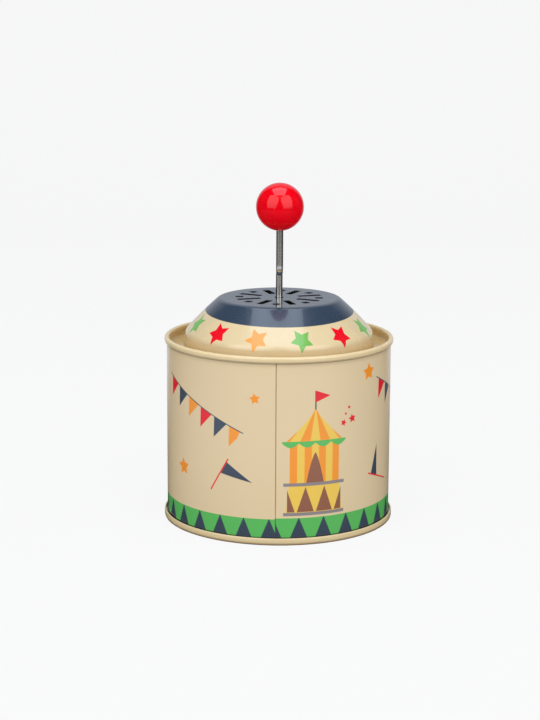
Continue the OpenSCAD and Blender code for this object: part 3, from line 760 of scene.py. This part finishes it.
# The lid: its profile turned about Z, from the flat top's edge over the trough to the rolled rim and back
# along the inside, then sixteen sectors with a slot each, and the wall of the shaft's hole
def makeLid():
    d = lid
    half, top = tin["rimWidth"] / 2, tin["height"]
    mid = tin["rimRadius"] - half
    low = top - tin["rimHeight"] + half
    entry = math.degrees(math.acos((tin["panelRadius"] - mid) / half))
    outer = outline(sheetLine(0), arc((mid, low), half, 360 - entry, 180, 6),
                    arc((mid, top - half), half, 180, 0, 20), arc((mid, low), half, 0, -84, 10))
    inner = sheetLine(tin["sheet"])[::-1]
    profile = np.vstack([outer, [[inner[0][0], top - tin["rimHeight"] + 0.35]], inner])
    turns = d["slotTurn"] + np.linspace(-180, 180, round(360 / d["column"]) + 1)
    grid = turned(profile, turns)
    seen = len(sheetLine(0)) - 1
    flat = np.stack([d["flatRadius"] + alongLine(profile), np.zeros(len(profile))], 1)
    uv = turned(flat, turns)[..., :2]
    rows = np.arange(len(profile) - 1)
    face = np.where(rows < seen, 0, np.where(rows < len(outer) - 1, 2, 1))[:, None]
    grids = [(grid, uv, face)]
    pitch = 360 / d["slots"]
    for k in range(d["slots"]):
        grids.append(plateSector(pitch * k + d["slotTurn"], d["shortSector"], d["shortSlot"]))
        grids.append(plateSector(pitch * (k + 0.5) + d["slotTurn"], d["longSector"], d["longSlot"]))
    edge = np.array([[d["holeRadius"], d["plateHeight"]], [d["holeRadius"], d["plateHeight"] - tin["sheet"]]])
    half = d["shortSector"] / 2
    corners = [pitch * k + side * half for k in range(d["slots"]) for side in (-1, 1)] + [360 - half]
    around = [np.linspace(a, b, 10, endpoint=False) for a, b in zip(corners, corners[1:])]
    ring = turned(edge, d["slotTurn"] + np.append(np.concatenate(around), corners[-1]))
    grids.append((ring, np.zeros(ring.shape[:2] + (2,)), 3))
    shape = piece("tinLid", grids, [lidPaint, plateInside, beadPaint, cutEdge], "tin", 40)
    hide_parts("top_dome")


base = {
    "recess": 4.2,
    "bend": 1.0,
    "ringRadius": 38.0,
    "ringDepth": 0.5,
    "ringHalf": 1.6,
    "beadHalf": 0.43,
    "beadSquare": (0.6, 0.8),  # powers under 1 that flatten the bead's side and its top
    "meshRing": 20.0,  # radius of one ring of the mesh on the flat middle
}


# Bottom panel and double seam in one closed profile. The panel carries one pressed ring, a cosine wave
# across its width. The seam's bead is an ellipse whose cosine and sine are raised to powers.
def makeBase():
    b, t = base, tin["sheet"]
    under = b["recess"] - t
    r = np.linspace(b["ringRadius"] - b["ringHalf"], b["ringRadius"] + b["ringHalf"], 13)
    wave = b["ringDepth"] * (1 + np.cos((r - b["ringRadius"]) / b["ringHalf"] * math.pi)) / 2
    p, s, c = tin["panelRadius"], tin["seamRadius"], tin["seamRound"]
    h, wall = tin["seamHeight"], tin["wallRadius"]
    turn = np.radians(np.linspace(-90, 178, 40))
    cosine, sine = (np.sign(f) * np.abs(f) ** power for f, power in
                    zip((np.cos(turn), np.sin(turn)), b["beadSquare"]))
    bead = np.stack([s - b["beadHalf"] + b["beadHalf"] * cosine, h / 2 + h / 2 * sine], 1)
    bend = (p - b["bend"], under - b["bend"])
    profile = outline(
        (0.0, under), (b["meshRing"], under), np.stack([r, under + wave], 1), arc(bend, b["bend"], 90, 0, 8),
        arc((p + c, c), c, 180, 270, 8), bead, (wall - 0.1, h / 2), (p + t, h / 2),
        arc(bend, b["bend"] + t, 0, 90, 8), np.stack([r, under + wave + t], 1)[::-1],
        (b["meshRing"], b["recess"]), (0.0, b["recess"]))
    turns = np.linspace(-180, 180, 257)
    uv = crossed(turns, alongLine(profile))
    middle = (profile[:-1] + profile[1:]) / 2
    face = (middle[:, 0] < p + 0.01) | ((middle[:, 0] < wall - 0.15) & (middle[:, 1] > 1.0))
    shape = piece("tinBase", [(turned(profile, turns), uv, face.astype(int)[:, None])],
                  [beadPaint, plateInside], "tin", 45)
    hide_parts("base_plate")


crank = {
    "radius": 1.5,
    "throw": 28.0,
    "angle": -89.8,  # degrees from +X, seen from above
    "low": 68.3735,
    "armHeight": 110.9735,
    "armTilt": 2.5,
    "bend": 3.4,
    "top": 144.296,
    "ends": [(0.0, 0.45), (0.12, 0.15), (0.4, 0.0)],  # at each distance from an end, how much thinner it is
    "dark": ink(206, 200, 190),
    "light": ink(226, 221, 212),
    "rough": 0.16,
}


# A circle carried along the wire's centre line, which is two straight uprights and an arm joined by arcs.
# The ring at each station stands square to the path, and shrinks to a point over a rounded end.
def makeWire():
    c = crank
    turn = 90 - c["armTilt"]
    reach = c["bend"] * math.tan(math.radians(turn / 2))
    armEnd = c["armHeight"] + c["throw"] * math.tan(math.radians(c["armTilt"]))
    elbow = arc((c["bend"], c["armHeight"] - reach), c["bend"], 180, 180 - turn, 20)
    knee = arc((c["throw"] - c["bend"], armEnd + reach), c["bend"], -turn, 0, 20)
    path = outline((0.0, c["low"]), elbow, knee, (c["throw"], c["top"]), lead=0.6)
    steps, thinner = np.array(c["ends"]).T
    rise = steps[:, None] * [0, 1]
    path = np.vstack([path[0] + rise, path[1:-1], path[-1] - rise[::-1]])
    tangent = np.gradient(path, axis=0)
    tangent /= np.linalg.norm(tangent, axis=1)[:, None]
    normal = np.stack([tangent[:, 1], -tangent[:, 0]], 1)
    swell = np.full(len(path), c["radius"])
    swell[:len(steps)] -= thinner
    swell[-len(steps):] -= thinner[::-1]
    path, normal = (np.vstack([line[:1], line, line[-1:]]) for line in (path, normal))
    swell = np.concatenate([[0], swell, [0]])
    around = np.linspace(0, 2 * math.pi, 33)
    side = swell[:, None] * np.cos(around)
    x = path[:, :1] + normal[:, :1] * side
    z = path[:, 1:] + normal[:, 1:] * side
    y = swell[:, None] * np.sin(around)
    a = math.radians(c["angle"])
    grid = np.stack([x * math.cos(a) - y * math.sin(a), x * math.sin(a) + y * math.cos(a), z], -1)
    uv = crossed(around * c["radius"], alongLine(path))
    wire = piece("crankWire", [(grid, uv, 0)], [nickel()], "crank", 50)
    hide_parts("crank_wire")


ball = {
    "radius": 10.0,
    "height": 140.096,
    "bore": 1.56,
    "boreDepth": 14.5,
    "lip": 0.35,
    "mouth": [(0.1, 0.12), (0.0, 0.4)],  # rounding of the bore's mouth: how far out and how far up
    "drillTip": 0.6,
    "dark": ink(226, 0, 18),
    "light": ink(234, 0, 24),
    "rough": 0.16,
    "coat": 0.68,  # clear gloss on the upper side; it starts this far above the middle and thickens
    "coatStart": -2.0,
    "coatReach": 5.0,
}


# A circle turned about the upright, with a rounded mouth and a blind bore from below
def makeBall():
    b, c = ball, crank
    mouth = math.degrees(math.asin((b["bore"] + b["lip"]) / b["radius"]))
    low = -b["radius"] * math.cos(math.radians(mouth))
    globe = arc((0, 0), b["radius"], 90, -90 + mouth, 64)
    end = b["boreDepth"] - b["radius"]
    lip = [(b["bore"] + out, low + up) for out, up in b["mouth"]]
    profile = outline(globe, *lip, (b["bore"], end), (0.0, end + b["drillTip"]), lead=0.4)
    profile[:, 0] = np.maximum(profile[:, 0], 0)
    turns = np.linspace(-180, 180, 97)
    grid = turned(profile + [0, b["height"]], turns)
    a = math.radians(c["angle"])
    grid[..., 0] += c["throw"] * math.cos(a)
    grid[..., 1] += c["throw"] * math.sin(a)
    uv = crossed(turns, alongLine(profile))
    shape = piece("ballKnob", [(grid, uv, 0)], [redBall()], "ball", 60)
    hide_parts("ball_knob")


# Drawn wire, bright nickel: fine lines run along it, and it dulls in patches
def nickel():
    finish = Finish("nickelWire", {"Metallic": 1.0})
    u, v, _ = finish.unrolled()
    turn = u / crank["radius"]
    lines = finish.noise(finish.join(turn.math("COSINE") * 2.2, turn.math("SINE") * 2.2, v * 0.05), 1.0, 1.0)
    patch = finish.noise(finish.space(), 9.0, 1.0)
    colour = finish.tint(finish.mix(patch, crank["dark"], crank["light"]), 0.9 + 0.2 * lines)
    rough = crank["rough"] + 0.05 * lines + 0.05 * patch
    return finish.paint(BaseColor=colour, Roughness=rough, Normal=finish.bump(lines, 0.004, 0.3))


# Gloss red plastic with a faint orange peel and a hairline where the mould's halves met
def redBall():
    finish = Finish("redBall", {"Coat Roughness": 0.08, "Specular IOR Level": 0.08})
    u, v, _ = finish.unrolled()
    _, _, height = finish.split(finish.space())
    peel = finish.noise(finish.space(), 1.6, 2.0)
    cloud = finish.noise(finish.space(), 7.0, 2.0)
    line = inked(abs(v - ball["radius"] * math.pi / 2) - 0.03, 0.1)
    colour = finish.tint(finish.mix(cloud, ball["dark"], ball["light"]), 1.0 - 0.12 * line)
    coat = ((height - ball["height"] - ball["coatStart"]) / ball["coatReach"]).clamp() * ball["coat"]
    return finish.paint(BaseColor=colour, Roughness=ball["rough"] + 0.08 * cloud, CoatWeight=coat,
                        Normal=finish.bump(peel * 0.4 - line * 2.0, 0.01, 0.6))


# Metal of the movement: a brushed or cast grain over slow stains
def metal(name, dark, light, rough, grainSize, stretch=1.0, shine=1.0, bump=0.012):
    finish = Finish(name, {"Metallic": shine})
    x, y, z = finish.split(finish.space())
    grain = finish.noise(finish.join(x / stretch, y, z * stretch), grainSize, 4.0)
    stain = finish.noise(finish.space(), 4.0, 3.0)
    return finish.paint(BaseColor=finish.tint(finish.mix(stain, dark, light), 0.86 + 0.2 * grain),
                        Roughness=rough + 0.15 * grain + 0.08 * stain, Normal=finish.bump(grain, bump, 0.6))


# Cut edges of the slots and the shaft's hole: painted shade, near black, so the slots read dark
def edgeFinish():
    finish = Finish("shadedSlotEdge")
    patch = finish.noise(finish.space(), 0.8, 3.0)
    colour = finish.mix(patch, inks["edgeDark"], inks["edgeLight"])
    return finish.paint(BaseColor=colour, Roughness=0.45 + 0.2 * patch)


wallPaint = wallFinish()
lidPaint = lidFinish()
beadPaint = beadFinish()
plateInside = plateFinish()
cutEdge = edgeFinish()
print("finishes of the tin made")

makeWall()
makeLid()
makeBase()
makeWire()
makeBall()

movement = {  # dark and light tone, roughness, size of the grain, then stretch, shine and depth of the grain
    "plated_steel": metal("platedSteel", ink(150, 150, 152), ink(196, 197, 200), 0.26, 0.5, 3.0),
    "spring_steel": metal("springSteel", ink(104, 106, 112), ink(150, 152, 156), 0.3, 0.25, 6.0),
    "zinc_plate": metal("zincCasting", ink(150, 150, 148), ink(184, 184, 181), 0.42, 0.8, 1.0, 0.9, 0.02),
    "brass": metal("turnedBrass", ink(176, 134, 66), ink(222, 182, 104), 0.24, 0.4, 4.0),
    "lead": metal("leadWeights", ink(72, 72, 78), ink(104, 104, 110), 0.5, 0.7, 1.0, 0.7, 0.02),
}
for part in frame["record"]["subparts"]:
    finish = movement.get(part["material_slot"])
    if finish:
        node = nodes[part["node"]]
        if not node.material_slots:
            node.data.materials.append(finish.material)
        for slot in node.material_slots:
            slot.material = finish.material
print("movement finished")

studio = {
    "paper": 0.985,  # brightness of the plain surround
    "room": 0.16,  # even light that comes from everywhere
    "darkRoom": 0.02,  # what gloss shows of the room in front and above
    "behind": 0.5,  # what gloss shows of the paper behind the tin, high up and on the table
    "tableBehind": 0.85,
    "table": 0.9,  # and of the table in front of it and beside it
    "tableSide": 0.03,
    "shadowShare": 0.1,
    "seenPaper": ink(170, 170, 170),  # the paper as the shadow falls on it, and as it lights the tin
    "darkPaper": ink(196, 196, 197),
    "lightPaper": ink(202, 202, 203),
    "glossTint": (0.96, 1.0, 1.08, 1.0),
    "floorHalf": 3000.0,  # of the paper: half width, front end, where it starts to rise, how, and how high
    "floorFront": -2500.0,
    "floorBack": 900.0,
    "floorBend": 700.0,
    "floorTop": 3000.0,
    "lamps": {  # azimuth right of the front, elevation, distance, width and height in mm, watts, in gloss too
        "leftBox": (-40, 29, 1500, 1350, 1600, 13.6, True),
        "rightBox": (38, 29, 1500, 1350, 1600, 13.5, True),
        "topBox": (-22, 85.7, 1190, 990, 1005, 8.2, True),
        "leftFill": (-104, 8, 1500, 900, 1500, 4.8, False),
        "rightFill": (98, 8, 1500, 900, 1500, 6.0, False),
    },
    "topTint": (0.89, 1.0, 1.14),  # the overhead box is a little cooler than the others
    "aimHeight": 80.0,
}


def rayKinds(finish, *names):
    rays = finish.tree.nodes.new("ShaderNodeLightPath")
    return [Value(finish, rays.outputs["Is " + name + " Ray"]) for name in names]


# The surround is paper white to the eye and takes a faint shadow. To gloss it glows as a painted reflection:
# bright behind the tin, where the lit paper stands, on the table before it, and a little more on the left
# than on the right.
# Each clamp is a soft edge: where it starts, divided by its width.
def paperFinish():
    s = studio
    finish = Finish("paper")
    cameraRay, glossyRay, clearRay = rayKinds(finish, "Camera", "Glossy", "Transmission")
    x, y, z = finish.split(finish.space())
    away = finish.reach(x, y)
    side = y / away  # -1 in front of the tin, 1 behind it
    back = ((side - 0.7) / 0.2).clamp() * ((away - 100.0) / 250.0).clamp()
    front = (0.25 - side * 1.2 - x / away * 0.25).clamp()
    table = front * (s["table"] - s["tableSide"]) + s["tableSide"]
    near = (1 - (away - 200.0) / 700.0).clamp() * ((away - 80.0) / 150.0).clamp()
    behind = s["tableBehind"] + (z / 60.0).clamp() * (s["behind"] - s["tableBehind"])
    glow = back * behind + (1 - back) * near * table + s["darkRoom"]
    cloud = finish.noise(finish.space(), 400.0, 2.0)
    sheet = finish.mix(cloud, s["darkPaper"], s["lightPaper"])
    paper = finish.mix(cameraRay, s["seenPaper"], sheet)
    finish.paint(BaseColor=paper, Roughness=0.9 + 0.05 * cloud)
    seen = cameraRay.math("MAXIMUM", clearRay) * (1 - s["shadowShare"])
    strength = seen * s["paper"] / (1 - s["shadowShare"]) + glossyRay * glow
    tone = finish.mix(glossyRay, (1.0, 1.0, 1.0, 1.0), s["glossTint"])
    emission = finish.add("ShaderNodeEmission", None, {"Color": tone, "Strength": strength})
    mixed = finish.add("ShaderNodeMixShader", None,
                       [seen.math("MAXIMUM", glossyRay), Value(finish, finish.shader.outputs[0]), emission])
    finish.tree.links.new(mixed.socket, finish.tree.nodes["Material Output"].inputs["Surface"])
    return finish


# Floor that turns up into the backdrop: a flat stretch, a quarter circle and an upright, seen as a line
# that is drawn sideways across X
def makeFloor():
    back, bend = studio["floorBack"], studio["floorBend"]
    curve = arc((back, bend), bend, -90, 0, 24)
    line = outline((studio["floorFront"], 0.0), (back, 0.0), curve, (back + bend, studio["floorTop"]), lead=5)
    x = np.array([-studio["floorHalf"], studio["floorHalf"]])
    grid = np.stack(np.broadcast_arrays(x[None, :], line[:, :1], line[:, 1:]), -1)
    rows = len(line)
    mesh = bpy.data.meshes.new("paperFloor")
    index = np.arange(rows * 2).reshape(rows, 2)
    quads = np.stack([index[:-1, 0], index[:-1, 1], index[1:, 1], index[1:, 0]], -1)
    mesh.from_pydata((grid.reshape(-1, 3) * mm).tolist(), [], quads.tolist())
    mesh.polygons.foreach_set("use_smooth", [True] * len(quads))
    mesh.materials.append(paperFinish().material)
    shown("paperFloor", mesh)


# Matrix of a lamp at a spot whose beam, -Z, points at the target; an overhead one lies square to X
def aim(spot, target):
    back = (np.array(spot) - target) / np.linalg.norm(np.array(spot) - target)
    right = np.cross((0, 1.0, 0) if back[2] > 0.9 else (0, 0, 1.0), back)
    right /= np.linalg.norm(right)
    up = np.cross(back, right)
    m = np.eye(4)
    m[:3, 0], m[:3, 1], m[:3, 2], m[:3, 3] = right, up, back, np.array(spot) * mm
    return Matrix(m.tolist())


# Soft boxes round the tin, and the even light of the room
def makeLamps():
    centre = np.array((0.0, 0.0, studio["aimHeight"]))
    for name, (azimuth, elevation, distance, width, height, watts, inGloss) in studio["lamps"].items():
        a, e = math.radians(azimuth), math.radians(elevation)
        towards = np.array((math.sin(a) * math.cos(e), -math.cos(a) * math.cos(e), math.sin(e)))
        spot = centre + distance * towards
        lamp = bpy.data.lights.new(name, "AREA")
        lamp.shape, lamp.energy = "RECTANGLE", watts
        lamp.size, lamp.size_y = width * mm, height * mm
        lamp.color = studio["topTint"] if name == "topBox" else (1.0, 1.0, 1.0)
        box = shown(name, lamp)
        box.matrix_world = aim(spot, centre)
        box.visible_glossy = inGloss
    world = bpy.data.worlds.new("studioRoom")
    world.use_nodes = True
    room = Finish("room", tree=world.node_tree)
    cameraRay, glossyRay = rayKinds(room, "Camera", "Glossy")
    others = (1 - cameraRay) * ((1 - glossyRay) * studio["room"] + glossyRay * studio["darkRoom"])
    room.fill(world.node_tree.nodes["Background"],
              {"Color": (1, 1, 1, 1), "Strength": cameraRay * studio["paper"] + others})
    bpy.context.scene.world = world


view = {
    "place": (0.0, -792.652, 235.858),
    "down": 11.8826,
    "left": 0.2782,
    "roll": 0.2876,
    "focal": 1847.18,  # in pixels of a picture of this height
    "pixels": 720,
    "sensor": 36.0,
}


# Camera in front of the tin, looking down by one angle, turned to the left by another and rolled by a third
def makeCamera():
    p, w, k = (math.radians(x) for x in (view["down"], -view["left"], view["roll"]))
    ahead = np.array((math.sin(w) * math.cos(p), math.cos(w) * math.cos(p), -math.sin(p)))
    right = np.array((math.cos(w), -math.sin(w), 0.0))
    up = np.cross(right, ahead)
    m = np.eye(4)
    m[:3, 0] = right * math.cos(k) + up * math.sin(k)
    m[:3, 1] = up * math.cos(k) - right * math.sin(k)
    m[:3, 2] = -ahead
    m[:3, 3] = np.array(view["place"]) * mm
    lens = bpy.data.cameras.new("camera")
    lens.sensor_fit = "VERTICAL"
    lens.sensor_height = lens.sensor_width = view["sensor"]
    lens.lens = view["focal"] / view["pixels"] * view["sensor"]
    lens.clip_start, lens.clip_end = 0.01, 20
    camera = shown("camera", lens)
    camera.matrix_world = Matrix(m.tolist())
    bpy.context.scene.camera = camera


makeFloor()
makeLamps()
makeCamera()
bpy.context.scene.view_settings.view_transform = "Standard"
print("studio made")
